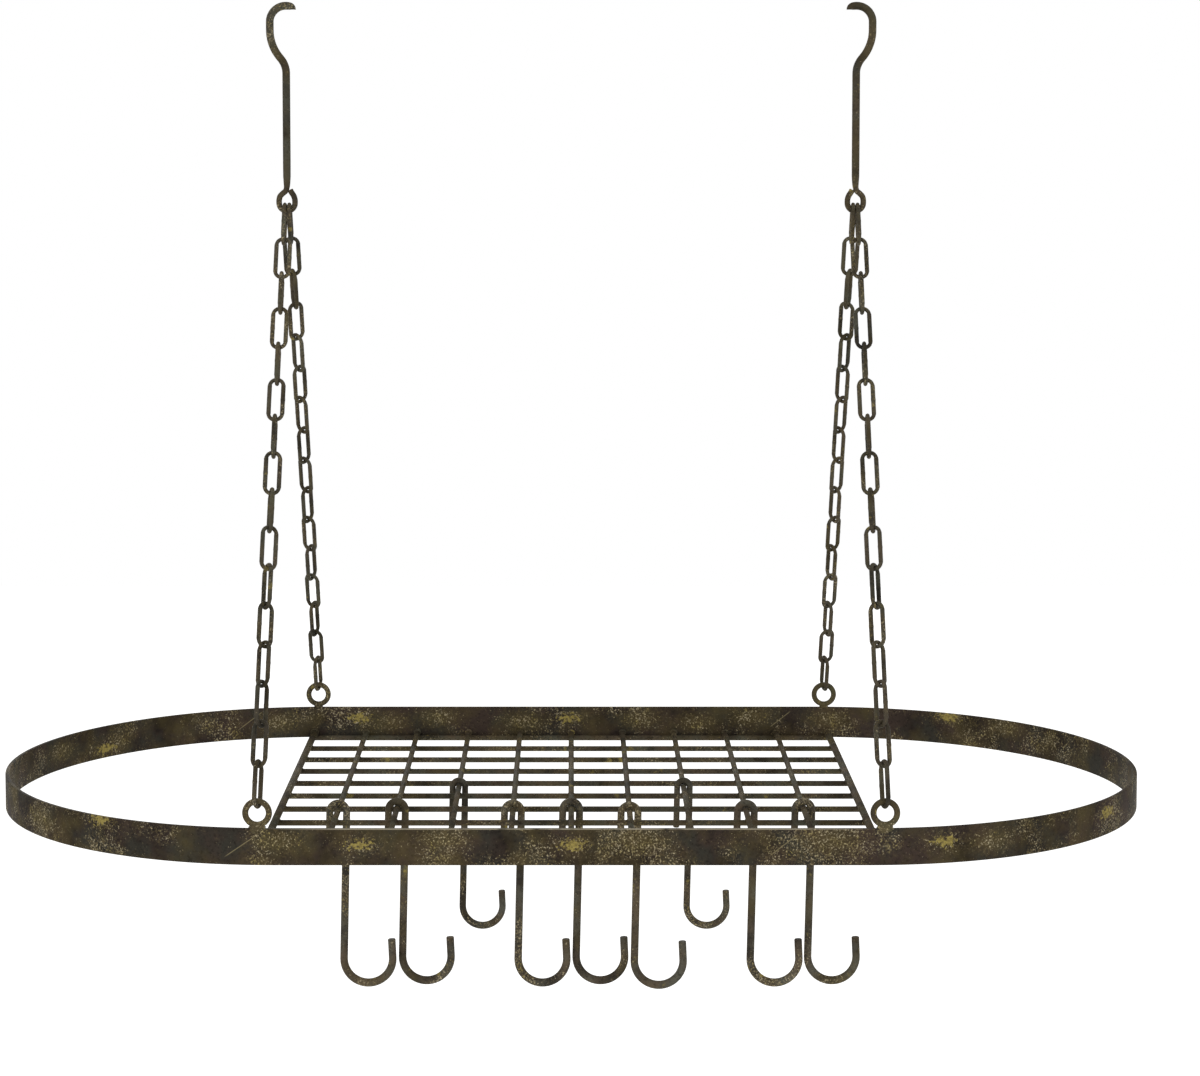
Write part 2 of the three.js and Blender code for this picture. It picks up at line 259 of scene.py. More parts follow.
print("straights:", 2 * HALF_STRAIGHT, "mm, bends of radius", BAND_MIDDLE_RADIUS, "mm")

# %% [markdown]
# ## The finish: bronze powder coat, rubbed back
#
# All the steel has one finish: a satin powder coat in brown black, baked on, and then
# aged by hand. Gold and olive paint is sponged over it and rubbed off again, which leaves
# fine flecks in clusters, a few gold patches, brown and grey clouds, and some thin
# scratches. Each of these is a pattern at its own real size, laid over the last. Object
# coordinates are used, because they are the rack's own and move with each piece.

# %% Sizes of the marks, in millimetres
CLOUD = 34.0          # brown and grey clouds in the coat
CLUSTER = 38.0        # stretches where the flecks gather
FLECK = 1.35          # the real flecks are 0.3 to 0.7 mm, which a render would blur away
GRAIN = 1.9           # the sponge's pores, between the flecks
PATCH = 15.0          # a small sponged patch of gold on a wire
PEEL = 0.8            # the orange-peel dimples that every powder coat has
TEAR = 2.6            # the torn edge of a dab, where the sponge has lifted off
ROUGH = 0.7           # how ragged the finest patterns are, where 0.5 is plain noise


def per_metre(size):
    """The scale of a noise pattern whose marks are this many millimetres across."""
    return 1.0 / (size * MM)


print("fleck noise scale:", round(per_metre(FLECK)))

# %% [markdown]
# ## Marks, and paint rubbed on through them
#
# Two helpers do most of the ageing. The first cuts a mask out of a cloudy noise, as the
# open pores of a sponge do. The second rubs a paint over the coat where one or more masks
# let it through. Every layer of the finish is then one line that names its paint.

# %% Sponge marks and rubbed paint


def noise_field(tree, where, size, detail=3.0, roughness=ROUGH):
    """A cloudy noise whose marks are size mm across."""
    return add_node(tree, "ShaderNodeTexNoise", {
        "Vector": where, "Scale": per_metre(size), "Detail": detail, "Roughness": roughness}).outputs[0]


def sponge_marks(tree, where, size, low, high, detail=3.0, shift=0.0):
    """A mask of marks size mm across: 0 where the noise is below low, 1 above high.

    shift moves the noise, in metres, so that two masks of one size don't coincide.
    """
    moved = add_node(tree, "ShaderNodeVectorMath", {0: where, 1: (shift, shift * 1.7, -shift)},
                     operation="ADD")
    return ramp(tree, noise_field(tree, moved.outputs[0], size, detail, 0.6), low, high)


def rub_on(tree, coat, paint, *masks):
    """The coat with a paint over it, as strong as the product of the masks."""
    amount = masks[0]
    for mask in masks[1:]:
        amount = calculate(tree, "MULTIPLY", amount, mask)
    painted = add_node(tree, "ShaderNodeMix", {0: amount, 6: coat, 7: paint}, data_type="RGBA")
    return painted.outputs[2]


print("sponge ready")

# %% [markdown]
# ## The clouded base
#
# Powder coat is a dull polyester paint, nearly black here. Heat and hand rubbing leave
# it uneven, browner in one place and greyer or more olive in the next, with edges as
# soft as clouds, and a fine grain of darker and lighter pores over all of it.

# %% Clouds and grain


def clouded_base(tree, place, dark, brown, grey):
    """The powder coat before any gold is sponged on."""
    wide = sponge_marks(tree, place, CLOUD, low=0.40, high=0.62)
    coat = rub_on(tree, linear(dark), linear(brown), wide)
    narrow = sponge_marks(tree, place, CLOUD * 0.7, low=0.46, high=0.66, shift=3.1)
    coat = rub_on(tree, coat, linear(grey), narrow)
    # Upside down: the pores are where the noise is low.
    pores = sponge_marks(tree, place, GRAIN, low=0.48, high=0.30, shift=9.4)
    return rub_on(tree, coat, linear("#100d0a"), pores, 0.6)


print("clouds are", CLOUD, "mm across")

# %% [markdown]
# ## Flecks of gold
#
# The rubbed gold stays in the coat's dimples, in crowded clusters with quiet stretches
# between. So a slow noise sets the level at which a fast noise is cut: where the slow
# one is high, more of the fast one comes through. An olive haze lies under each cluster.

# %% Gold flecks in clusters
FLECK_LEVEL, FLECK_EDGE = 0.67, 0.11                             # both in levels of the noise


def gold_flecks(tree, place, cluster, spread):
    """The mask of the flecks. spread is how much lower the cut lies inside a cluster."""
    cut = ramp(tree, cluster, low=FLECK_LEVEL, high=FLECK_LEVEL - spread)
    above = calculate(tree, "SUBTRACT", noise_field(tree, place, FLECK), cut)
    return ramp(tree, above, end=FLECK_EDGE)


print("clusters are", CLUSTER, "mm across")

# %% [markdown]
# ## Patches on the band
#
# On the wide band whole dabs of the sponge have kept their gold, each about 10 by 6 mm
# with a torn edge, and wider smears have left an olive haze. Their places along the band
# are read from the photograph. Each measures its own distance, and the nearest counts.

# %% Where the dabs and smears are
# Each: X of its middle, the half of the band it is on (-1 is the front), and its Z.
DABS = [(-322, -1, -561), (-142, -1, -570), (1, -1, -570), (252, -1, -569), (376, -1, -568),
        (-371, 1, -577), (-174, 1, -568), (-2, 1, -568), (307, 1, -562)]
SMEARS = [(-368, -1, -572), (-196, -1, -568), (-88, -1, -566), (45, -1, -567), (173, -1, -567),
          (285, -1, -571), (-398, 1, -570), (-241, 1, -571), (-150, 1, -572), (-108, 1, -567),
          (-40, 1, -571), (57, 1, -569), (103, 1, -572), (148, 1, -567), (212, 1, -569),
          (350, 1, -564)]
DAB_HALF_SIZES, SMEAR_HALF_SIZES = (7.0, 9.0, 3.1), (21.0, 21.0, 10.0)


def mark_middle(x, face, z):
    """The middle of a mark, in metres, in the thickness of the band."""
    return Vector((x, face * oval_y(x, BAND_MIDDLE_RADIUS), z)) * MM


def nearest_mark(tree, place, marks, half_sizes):
    """The distance to the nearest of some marks on the band, where 1 is a mark's edge."""
    nearest = None
    for mark in marks:
        local = add_node(tree, "ShaderNodeMapping",
                         {"Vector": place, "Location": mark_middle(*mark),
                          "Scale": Vector(half_sizes) * MM}, vector_type="TEXTURE")
        measure = add_node(tree, "ShaderNodeVectorMath", {0: local.outputs[0]}, operation="LENGTH")
        away = measure.outputs[1]
        nearest = away if nearest is None else calculate(tree, "MINIMUM", nearest, away)
    return nearest


print("dabs of gold:", len(DABS), "and olive smears:", len(SMEARS))

# %% [markdown]
# ## Scratches and the painted edge highlight
#
# A few thin scratches cross the band, where hooks and chains have slid over it, and a pale
# line along the top edge of its front straight is a painted highlight. Each is a straight
# mark, so each is a thin box, turned to the mark's slope: inside a scratch the paint comes
# off, and inside the edge's box the highlight is painted on.

# %% Straight marks on the band
# Each: X, the half of the band, Z, its half length and half width, and its slope in degrees.
SCRATCHES = [(-222, -1, -570.7, 14.5, 0.45, 35), (143, -1, -570, 12, 0.45, 38),
             (-262, 1, -568, 12, 0.45, 36), (172, 1, -569, 11, 0.45, 38)]
# A painted highlight: a pale line along the top edge of the front straight, in the same columns.
PAINTED_EDGE_HIGHLIGHT = (0, -1, BAND_TOP - 0.3, 204, 0.5, 0)
MARK_HALF_DEPTH = 12.0
# Where a mark starts to fade, as a share of its half length, half depth and half width.
FADE_FROM = {"X": 0.75, "Y": 0.9, "Z": 0.2}


def straight_mark(tree, place, x, face, z, half_length, half_width, slope):
    """A mask that is 1 down the middle of a straight mark and 0 outside it."""
    local = add_node(tree, "ShaderNodeMapping",
                     {"Vector": place, "Location": mark_middle(x, face, z),
                      "Rotation": (0.0, -math.radians(slope), 0.0),
                      "Scale": Vector((half_length, MARK_HALF_DEPTH, half_width)) * MM},
                     vector_type="TEXTURE")
    sides = add_node(tree, "ShaderNodeVectorMath", {0: local.outputs[0]}, operation="ABSOLUTE")
    sides = add_node(tree, "ShaderNodeSeparateXYZ", {0: sides.outputs[0]})
    mask = 1.0
    for axis, fade_from in FADE_FROM.items():
        within = ramp(tree, sides.outputs[axis], 1.0, fade_from)
        mask = calculate(tree, "MULTIPLY", within, mask)
    return mask


print("scratches:", len(SCRATCHES))

# %% [markdown]
# ## Where the paint gathers
#
# On wire, noise alone says where flecks cluster, haze lies and patches stay. On the band
# the dabs and smears say it too. Flecks crowd round a dab, a smear brings both haze and
# flecks, and a dab itself is a patch. A second, finer noise tears all their outlines.

# %% Masks of clusters, haze and patches
DAB_HALO = (4.2, 1.4, 0.8)                 # flecks round a dab: outer and inner reach, and strength
SMEAR_TEAR, SMEAR_ENDS = -1.6, (0.5, -0.5)
DAB_TEAR, DAB_ENDS = -7.0, (-2.3, -2.9)


def gathered_paint(tree, place, on_band):
    """The masks of the clusters of flecks, of the olive haze and of the gold patches."""
    cluster = sponge_marks(tree, place, CLUSTER, low=0.42, high=0.60, shift=1.3)
    haze = sponge_marks(tree, place, CLUSTER * 0.8, low=0.46, high=0.70, shift=6.2)
    if not on_band:
        patches = sponge_marks(tree, place, PATCH, low=0.64, high=0.71, detail=5.0, shift=4.6)
        return cluster, haze, patches

    torn = noise_field(tree, place, TEAR, detail=4.0)
    dab = nearest_mark(tree, place, DABS, DAB_HALF_SIZES)
    outer, inner, strength = DAB_HALO
    halo = ramp(tree, dab, outer, inner, high=strength)
    smear = nearest_mark(tree, place, SMEARS, SMEAR_HALF_SIZES)
    smear = ramp(tree, calculate(tree, "MULTIPLY_ADD", torn, SMEAR_TEAR, smear), *SMEAR_ENDS)
    haze = calculate(tree, "MAXIMUM", haze, smear)
    for gathered in (halo, smear):
        cluster = calculate(tree, "MAXIMUM", cluster, gathered)
    patches = ramp(tree, calculate(tree, "MULTIPLY_ADD", torn, DAB_TEAR, dab), *DAB_ENDS)
    return cluster, haze, patches


print("masks ready")

# %% [markdown]
# ## The whole finish
#
# The layers go on in the order of the workshop: base, olive haze, flecks, patches, and
# last the marks of use, with a painted highlight along the band's front top edge. A wide
# band keeps more gold than a chain that rubs against itself, so each coat gets its own
# cloud colours and amounts. The paint is dull, with the low gloss of a textured coat, and
# only the gold has a little metal in it.

# %% The aged coat
SCRATCH_STRENGTH = 0.6
PEEL_SHARE, BUMP_STRENGTH, BUMP_DEPTH = 0.35, 0.3, 0.12          # the depth in millimetres
PAINT_ROUGHNESS, GOLD_ROUGHNESS, GOLD_METAL = 0.62, 0.48, 0.3


def aged_bronze(name, clouds, gold_left, spread, gloss, on_band=False):
    """Satin bronze powder coat, sponged with gold paint and rubbed back. Returns the material."""
    material, tree = new_material(name)
    place = add_node(tree, "ShaderNodeTexCoord").outputs["Object"]
    cluster, haze, patches = gathered_paint(tree, place, on_band)

    coat = clouded_base(tree, place, *clouds)
    coat = rub_on(tree, coat, linear("#50462a"), haze, gold_left * 0.6)
    grain = sponge_marks(tree, place, GRAIN, low=0.50, high=0.64, detail=4.0, shift=8.8)
    coat = rub_on(tree, coat, linear("#5c5038"), grain, cluster, 0.75 * gold_left)

    flecks = gold_flecks(tree, place, cluster, spread)
    tint = sponge_marks(tree, place, CLUSTER * 0.3, low=0.44, high=0.66, shift=5.5)
    gold = rub_on(tree, linear("#a4987c"), linear("#8a7c49"), tint)
    coat = rub_on(tree, coat, gold, flecks, gold_left)

    worn = sponge_marks(tree, place, GRAIN, low=0.34, high=0.54, detail=4.0, shift=2.9)
    gold = rub_on(tree, linear("#6b5e35"), linear("#948549"), worn)
    coat = rub_on(tree, coat, gold, patches, gold_left * 0.9)

    if on_band:
        for scratch in SCRATCHES:
            scratched = straight_mark(tree, place, *scratch)
            coat = rub_on(tree, coat, linear("#8d8160"), scratched, SCRATCH_STRENGTH)
        # Last, a pale line along the top edge of the front straight: a painted highlight, where the rounded
        # corner catches the light, broken up by sponge marks.
        rubbed = sponge_marks(tree, place, CLUSTER * 0.5, low=0.30, high=0.46, shift=7.7)
        coat = rub_on(tree, coat, linear("#8f8774"), straight_mark(tree, place, *PAINTED_EDGE_HIGHLIGHT), rubbed)

    peel = add_node(tree, "ShaderNodeTexNoise",
                    {"Vector": place, "Scale": per_metre(PEEL), "Detail": 1.0})
    relief = calculate(tree, "MULTIPLY_ADD", peel.outputs[0], PEEL_SHARE, flecks)
    surface = add_node(tree, "ShaderNodeBump",
                       {"Height": relief, "Strength": BUMP_STRENGTH, "Distance": BUMP_DEPTH * MM})
    shader = add_node(tree, "ShaderNodeBsdfPrincipled", {
        "Base Color": coat, "Normal": surface.outputs[0], "IOR": 1.5, "Specular IOR Level": gloss,
        "Roughness": ramp(tree, flecks, low=PAINT_ROUGHNESS, high=GOLD_ROUGHNESS),
        "Metallic": ramp(tree, flecks, high=GOLD_METAL)})
    add_node(tree, "ShaderNodeOutputMaterial", {"Surface": shader.outputs[0]})
    return material


print("finish ready")

# %% [markdown]
# ## Six coats of the same finish
#
# Every kind of piece has the same coat, but wire takes the sponge differently from a
# broad face, and a photograph shows thin dark wire a little lighter. So each kind has
# its own clouds, amount of gold and gloss. The gloss is least on the grid, whose bars
# are seen end on, where a gloss would turn them pale.

# %% The coats
coats = {}
# Each: dark, brown and grey of the clouds, the share of gold left, how it gathers, and the gloss.
for kind, clouds, gold_left, spread, gloss in (
    ("band", ("#231e1a", "#3a302a", "#312f29"), 0.95, 0.135, 0.03),
    ("grid", ("#302c23", "#504639", "#4a493e"), 0.8, 0.13, 0.02),
    ("chain", ("#23211b", "#4a4236", "#49483c"), 0.8, 0.13, 0.10),
    ("ring", ("#302b20", "#524730", "#4a4732"), 0.9, 0.14, 0.10),
    ("ceiling_hook", ("#231f19", "#463d31", "#424137"), 0.85, 0.14, 0.10),
    ("pot_hook", ("#2e2a23", "#554a3c", "#514f45"), 0.9, 0.155, 0.10),
):
    name = f"{kind}_bronze_coat"
    coats[kind] = aged_bronze(name, clouds, gold_left, spread, gloss, on_band=kind == "band")
print("coats:", list(coats))

# %% [markdown]
# ## Bending wire
#
# Nearly everything here is wire bent in one flat plane: rods, links, rings and pot hooks.
# A bender thinks in straight runs and bends, so this function follows such a list and
# gives the points of the wire's centre.

# %% Follow a bender's list


def bent_path(x, z, heading, moves, finest_turn=7.5):
    """Points of a wire bent in its XZ plane.

    A move is ('run', length, parts) or ('bend', degrees, radius).
    """
    points = [Vector((x, 0.0, z))]
    for kind, first, second in moves:
        if kind == "run":
            steps = [(first / second, 0.0)] * second
        else:
            count = max(2, round(abs(first) / finest_turn))
            turn = first / count
            steps = [(2 * second * math.sin(math.radians(abs(turn)) / 2), turn)] * count
        for length, turn in steps:
            course = math.radians(heading + turn / 2)
            step = Vector((math.cos(course), 0.0, math.sin(course))) * length
            points.append(points[-1] + step)
            heading += turn
    return points


print("a quarter bend has", len(bent_path(0, 0, 90, [("bend", 90, 10)])), "points")

# %% [markdown]
# ## Skinning wire
#
# Round wire is a row of round sections, one at each point of its path, joined by faces.
# A Blender curve with a bevel would do as well, but a mesh drawn section by section lets
# the wire thin out, thicken at a weld or end in a clean saw cut.

# %% Skin a row of sections


def skin(form, sections, closed=False):
    """Adds faces over rings of points in millimetres, with flat ends unless closed."""
    rings = [[form.verts.new(Vector(point) * MM) for point in section] for section in sections]
    spans = list(zip(rings, rings[1:] + rings[:1])) if closed else list(zip(rings, rings[1:]))
    for here, there in spans:
        for corner in range(len(here)):
            after = (corner + 1) % len(here)
            form.faces.new((here[corner], here[after], there[after], there[corner]))
    if not closed:
        form.faces.new(rings[0])
        form.faces.new(rings[-1])


def round_wire(form, points, radii, place, sides=16, closed=False):
    """Skins a wire along points of its XZ plane. radii holds (in plane, through plane) for each."""
    sections = []
    count = len(points)
    for index, point in enumerate(points):
        before = points[index - 1] if closed or index else point
        after = points[(index + 1) % count] if closed or index < count - 1 else point
        along = (after - before).normalized()
        out = Vector((-along.z, 0.0, along.x))
        wide, deep = radii[index]
        section = []
        for side in range(sides):
            angle = 2 * math.pi * side / sides
            corner = point + out * (wide * math.cos(angle)) + Vector((0, deep * math.sin(angle), 0))
            section.append(place @ corner)
        sections.append(section)
    skin(form, sections, closed)


print("wire is skinned with 16 sides, unless a piece asks for another number")

# %% [markdown]
# ## Weld beads, and handing a piece to its body
#
# Where steel is welded a small lump is left, never quite round. A bead starts as a fine
# ball, is squashed to the size of the joint and pushed in and out by noise. The other
# function turns a finished form into an object, smooth on the rounds and sharp at saw
# cuts, and says which moving body it belongs to and which solids it stands for.

# %% Beads and pieces
SHARP_ANGLE = 42.0                                               # degrees


def weld_bead(form, centre, radii, lumpiness=0.12):
    """A lump of weld metal about a centre in millimetres."""
    made = bmesh.ops.create_icosphere(form, subdivisions=3, radius=1.0)
    for vert in made["verts"]:
        # Two lumps or so across a bead, and other ones on every bead.
        bulge = 1.0 + lumpiness * noise.noise(vert.co * 2.2 + Vector(centre) * 0.37)
        size = Vector([vert.co[axis] * radii[axis] * bulge for axis in range(3)])
        vert.co = (Vector(centre) + size) * MM


def hand_over(form, name, coat, body, nodes):
    """Makes the form an object with its coat, riding on its body in place of its solids."""
    bmesh.ops.recalc_face_normals(form, faces=form.faces)
    mesh = bpy.data.meshes.new(name)
    form.to_mesh(mesh)
    form.free()
    mesh.shade_smooth()
    mesh.set_sharp_from_angle(angle=math.radians(SHARP_ANGLE))
    mesh.materials.append(coat)
    piece = bpy.data.objects.new(name, mesh)
    bpy.context.scene.collection.objects.link(piece)
    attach(piece, body)
    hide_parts(*nodes)


print("bead and hand-over ready")

# %% [markdown]
# ## The oval band
#
# The band is a flat steel bar, 25 by 3 mm, rolled on edge into two straights and two half
# circles and welded shut. Rolled bar has slightly rounded corners, and they catch the
# light line that shows its thickness. The bar's section is drawn once and carried round
# the oval, which gives an even bend without any modifier.

# %% Roll the band
BEND_STEPS, STRAIGHT_STEPS, CORNER_STEPS = 96, 40, 3

oval = []
for end, first in ((1, -90), (-1, 90)):
    for step in range(BEND_STEPS + 1):
        angle = math.radians(first + 180 * step / BEND_STEPS)
        outward = Vector((math.cos(angle), math.sin(angle), 0))
        oval.append((Vector((end * HALF_STRAIGHT, 0, 0)) + outward * BAND_MIDDLE_RADIUS, outward))
    for step in range(1, STRAIGHT_STEPS):
        share = 1 - 2 * step / STRAIGHT_STEPS
        outward = Vector((0, end, 0))
        oval.append((Vector((end * share * HALF_STRAIGHT, end * BAND_MIDDLE_RADIUS, 0)), outward))

bar_section = []
for across, up, first in ((1, 1, 0), (-1, 1, 90), (-1, -1, 180), (1, -1, 270)):
    for step in range(CORNER_STEPS + 1):
        angle = math.radians(first + 90 * step / CORNER_STEPS)
        bar_section.append((
            across * (BAND_THICKNESS / 2 - BAND_CORNER) + BAND_CORNER * math.cos(angle),
            up * (BAND_HEIGHT / 2 - BAND_CORNER) + BAND_CORNER * math.sin(angle)))

form = bmesh.new()
level = BAND_TOP - BAND_HEIGHT / 2
sections = [[middle + outward * across + Vector((0, 0, level + up)) for across, up in bar_section]
            for middle, outward in oval]
skin(form, sections, closed=True)
hand_over(form, "oval_band", coats["band"], "rack", ["band"])
print("band:", len(oval), "sections of", len(bar_section), "points")

# %% [markdown]
# ## The wire grid
#
# Eleven bars run front to back and ten wires across beneath them, resistance welded where
# they cross, so each pair has sunk a little into the other and a small collar of metal
# is left round the joint. The bars' ends are welded to the inside of the band. The wires
# are drawn round and straight, and the collars and beads are added to the same piece.

# %% Weld the grid
GRID_WIDTH, GRID_BARS, GRID_WIRE, SIDE_BAR_WIRE = 422.0, 11, 4.2, 5.4
BAR_LEVEL, CROSS_LEVEL = -580.3, -584.0
CROSS_WIRES, CROSS_PITCH, REAR_WIRE_Y = 10, 43.6, 212.32
END_CUT, END_THINNED = 0.4, 0.35          # length and depth of the broken edge at a wire's end
BAND_GAP = 0.1                            # between a bar's end and the band
middle_bar = GRID_BARS // 2
pitch_x = GRID_WIDTH / (GRID_BARS - 1)
cross_rows = [REAR_WIRE_Y - row * CROSS_PITCH for row in range(CROSS_WIRES)]


def straight_bar(form, middle, length, wire, turn):
    """A cut length of wire with broken edges at its ends. turn lays it along X or along Y."""
    half = length / 2
    points = [Vector((along, 0, 0)) for along in (-half, END_CUT - half, 0.0, half - END_CUT, half)]
    thin = wire / 2 - END_THINNED
    radii = [(thin, thin)] + [(wire / 2, wire / 2)] * 3 + [(thin, thin)]
    round_wire(form, points, radii, Matrix.Translation(middle) @ Matrix.Rotation(turn, 4, "Z"))


form = bmesh.new()
for index in range(-middle_bar, middle_bar + 1):
    wire = SIDE_BAR_WIRE if abs(index) == middle_bar else GRID_WIRE
    x = index * pitch_x
    end = oval_y(abs(x) + wire / 2, BAND_INSIDE) - BAND_GAP
    straight_bar(form, Vector((x, 0, BAR_LEVEL)), 2 * end, wire, math.pi / 2)
    for face in (-1, 1):
        at_band = (x, face * (end - 0.9), BAR_LEVEL + 0.5)
        weld_bead(form, at_band, (wire / 2 + 1.0, 1.4, wire / 2 + 0.6))
    for y in cross_rows:
        crossing = (x, y, (BAR_LEVEL + CROSS_LEVEL) / 2)
        weld_bead(form, crossing, (wire / 2 + 0.45, 2.45, 1.1), lumpiness=0.08)
for y in cross_rows:
    straight_bar(form, Vector((0, y, CROSS_LEVEL)), GRID_WIDTH + SIDE_BAR_WIRE, GRID_WIRE, 0.0)
hand_over(form, "wire_grid", coats["grid"], "rack", ["grid"])
print("grid pitch:", round(pitch_x, 2), "by", CROSS_PITCH, "mm")

# %% [markdown]
# ## Rings on the band
#
# A ring of 4 mm wire stands at each corner of the grid, welded to the band's top edge.
# The weld is a heap rather than a neat fillet: in front it is as wide as half the ring,
# climbs round its foot and has run a few millimetres down the band's face. The rear
# rings have only a small heap. Three overlapping beads make one heap. The ring itself
# shows no seam, so its wire is one closed loop.

# %% Stand the rings
RING_WIRE, RING_OUTSIDE, RING_SWELL, SEAT_GAP = 4.0, 20.2, 0.12, 0.3
FRONT_HEAP, REAR_HEAP = 0.9, 0.55                                # of the heap drawn below
HOOK_SPACING, LINK_WIRE = 419.0, 3.0
CHAIN_OFFSET = (LINK_WIRE + SEAT_GAP) / 2
ring_bend = (RING_OUTSIDE - RING_WIRE) / 2
ring_centre = BAND_TOP + RING_OUTSIDE / 2 + SEAT_GAP


def corner_place(side, face):
    """X and Y of the ring at one corner. side is -1 for left, face is -1 for front."""
    x = side * (HOOK_SPACING / 2 - face * CHAIN_OFFSET)
    return x, face * oval_y(x, BAND_MIDDLE_RADIUS)


CORNERS = [(f"{front}_{left}", side, face) for left, side in (("left", -1), ("right", 1))
           for front, face in (("front", -1), ("rear", 1))]

for corner, side, face in CORNERS:
    x, y = corner_place(side, face)
    form = bmesh.new()
    # The wire is broadened inwards only, so the ring's outside keeps its size.
    inner_bend = ring_bend - RING_SWELL
    circle = bent_path(inner_bend, 0, 90, [("bend", 360, inner_bend)])[:-1]
    radii = [(RING_WIRE / 2 + RING_SWELL, RING_WIRE / 2)] * len(circle)
    round_wire(form, circle, radii, Matrix.Translation((x, y, ring_centre)), closed=True)

    heap = FRONT_HEAP if face < 0 else REAR_HEAP
    # Each bead: its middle, its half sizes, and how lumpy it is.
    for middle, half_sizes, lumpiness in (
        ((x, y, BAND_TOP + 0.7 * heap), (6.3 * heap, 2.5, 2.8 * heap), 0.2),
        ((x - 1.6 * heap, y + face * 0.8, BAND_TOP - 0.8), (4.0 * heap, 1.9, 3.2 * heap), 0.25),
        ((x + 2.2 * heap, y + face * 0.7, BAND_TOP - 0.2), (3.4 * heap, 1.9, 2.4 * heap), 0.25),
    ):
        weld_bead(form, middle, half_sizes, lumpiness)
    hand_over(form, f"hanging_ring_{corner}", coats["ring"], "rack", [f"ring_{corner}"])
    print("ring", corner, "at", round(x, 1), round(y, 1))

# %% [markdown]
# ## The ceiling hooks
#
# Each is one rod, 5.7 mm thick, bent cold. At its bottom the rod is drawn down a little
# and curled into an eye, and its end lies against the shaft. No eye curled by hand is a
# true circle, so the eye is a smooth curve through a few points of the wire's centre.

# %% Curl the eye


def smooth_through(points, parts=6):
    """A Catmull-Rom curve through points."""
    curve = []
    for index in range(len(points) - 1):
        before = points[max(index - 1, 0)]
        here, there = points[index], points[index + 1]
        after = points[min(index + 2, len(points) - 1)]
        for part in range(parts):
            t = part / parts
            curve.append(0.5 * (2 * here + (there - before) * t
                                + (2 * before - 5 * here + 4 * there - after) * t ** 2
                                + (3 * here - before - 3 * there + after) * t ** 3))
    return curve + [points[-1]]


EYE_DROP, EYE_WIRE, EYE_STRAIGHT, EYE_SIDE_PLAY = 141.0, 4.2, 2.2, 0.6
# X and Z of the wire's centre, from the middle of the eye.
INNER_SIDE = [(-2.3, 8.7), (-3.3, 6.7), (-4.8, 4.4), (-5.7, 1.8)]
OUTER_SIDE = [(5.8, 1.3), (5.1, 3.8), (3.2, 5.9), (1.1, 7.7), (0.2, 10.2), (0.0, 13.5), (0.0, 18.0)]
eye_bend = CHAIN_OFFSET + LINK_WIRE / 2 + EYE_SIDE_PLAY + EYE_WIRE / 2
under_side = []
for degrees in range(180, 361, 20):
    angle = math.radians(degrees)
    under_side.append((eye_bend * math.cos(angle), -EYE_STRAIGHT / 2 + eye_bend * math.sin(angle)))
eye_points = INNER_SIDE + under_side + OUTER_SIDE
eye_curve = smooth_through([Vector((x, 0, z - EYE_DROP)) for x, z in eye_points])
print("eye:", len(eye_curve), "points,", round(2 * eye_bend + EYE_WIRE, 1), "mm wide")

# %% [markdown]
# ## The rod and its crown
#
# At the top the rod swings out in a long S and comes back over in a crown. These are
# exact bends. The crown has been hammered a little flatter on its outside and has
# broadened towards its inside. From the eye up, the rod soon reaches its full thickness.

# %% Bend the rod and its crown
ROD, CROWN_RADIUS, SIDE_RUN, NECK_TURN, NECK_RADIUS = 5.7, 11.8, 6.5, 41.0, 17.0
FORGED_FLAT, CROWN_SWELL, CROWN_STEPS = 0.2, 0.25, 22
THICKENING_POINTS = 14                     # at the end of the eye's curve
back_radius = CROWN_RADIUS / (1 - math.cos(math.radians(NECK_TURN))) - NECK_RADIUS
neck_rise = (NECK_RADIUS + back_radius) * math.sin(math.radians(NECK_TURN))
shaft_top = ROD / 2 - CROWN_RADIUS - SIDE_RUN - neck_rise
crown_centre = Vector((0, 0, ROD / 2 - CROWN_RADIUS))

upper = bent_path(0.0, eye_curve[-1].z, 90, [
    ("run", shaft_top - eye_curve[-1].z, 8),
    ("bend", -NECK_TURN, NECK_RADIUS), ("bend", NECK_TURN, back_radius),
    ("run", SIDE_RUN, 1), ("bend", 90, CROWN_RADIUS),
], finest_turn=4.0)[1:]
rod_points = eye_curve + upper
rod_radii = []
for index in range(len(rod_points)):
    grown = min(1.0, max(0.0, (index - len(eye_curve) + THICKENING_POINTS) / THICKENING_POINTS))
    size = (EYE_WIRE + (ROD - EYE_WIRE) * grown) / 2
    rod_radii.append((size, size))
for step in range(CROWN_STEPS + 1):
    index = len(rod_points) - 1 - CROWN_STEPS + step
    share = math.sin(math.pi / 2 * step / CROWN_STEPS)
    inwards = (crown_centre - rod_points[index]).normalized()
    rod_points[index] = rod_points[index] + inwards * (FORGED_FLAT + CROWN_SWELL) * share
    rod_radii[index] = (ROD / 2 + (CROWN_SWELL - FORGED_FLAT) * share, ROD / 2)
rod_radii[0] = (EYE_WIRE / 2 - END_CUT, EYE_WIRE / 2 - END_CUT)
print("rod:", len(rod_points), "points, shaft top at", round(shaft_top, 1))

# %% [markdown]
# ## The blunt point
#
# The end of the crown is cut flat on its underside, so that it slips over a ceiling eye,
# and ground down on top to a blunt point. Both sides are drawn as distances from the
# crown's centre, and the rod's middle and thickness follow from them.

# %% Grind the point
POINT_TURN, POINT_STEP = 39, 3             # degrees
GRIND_FROM, GRIND_DEPTH = 14, 2.6          # degrees and millimetres
POINT_THICKNESS, POINT_NARROWED = 0.5, 0.5

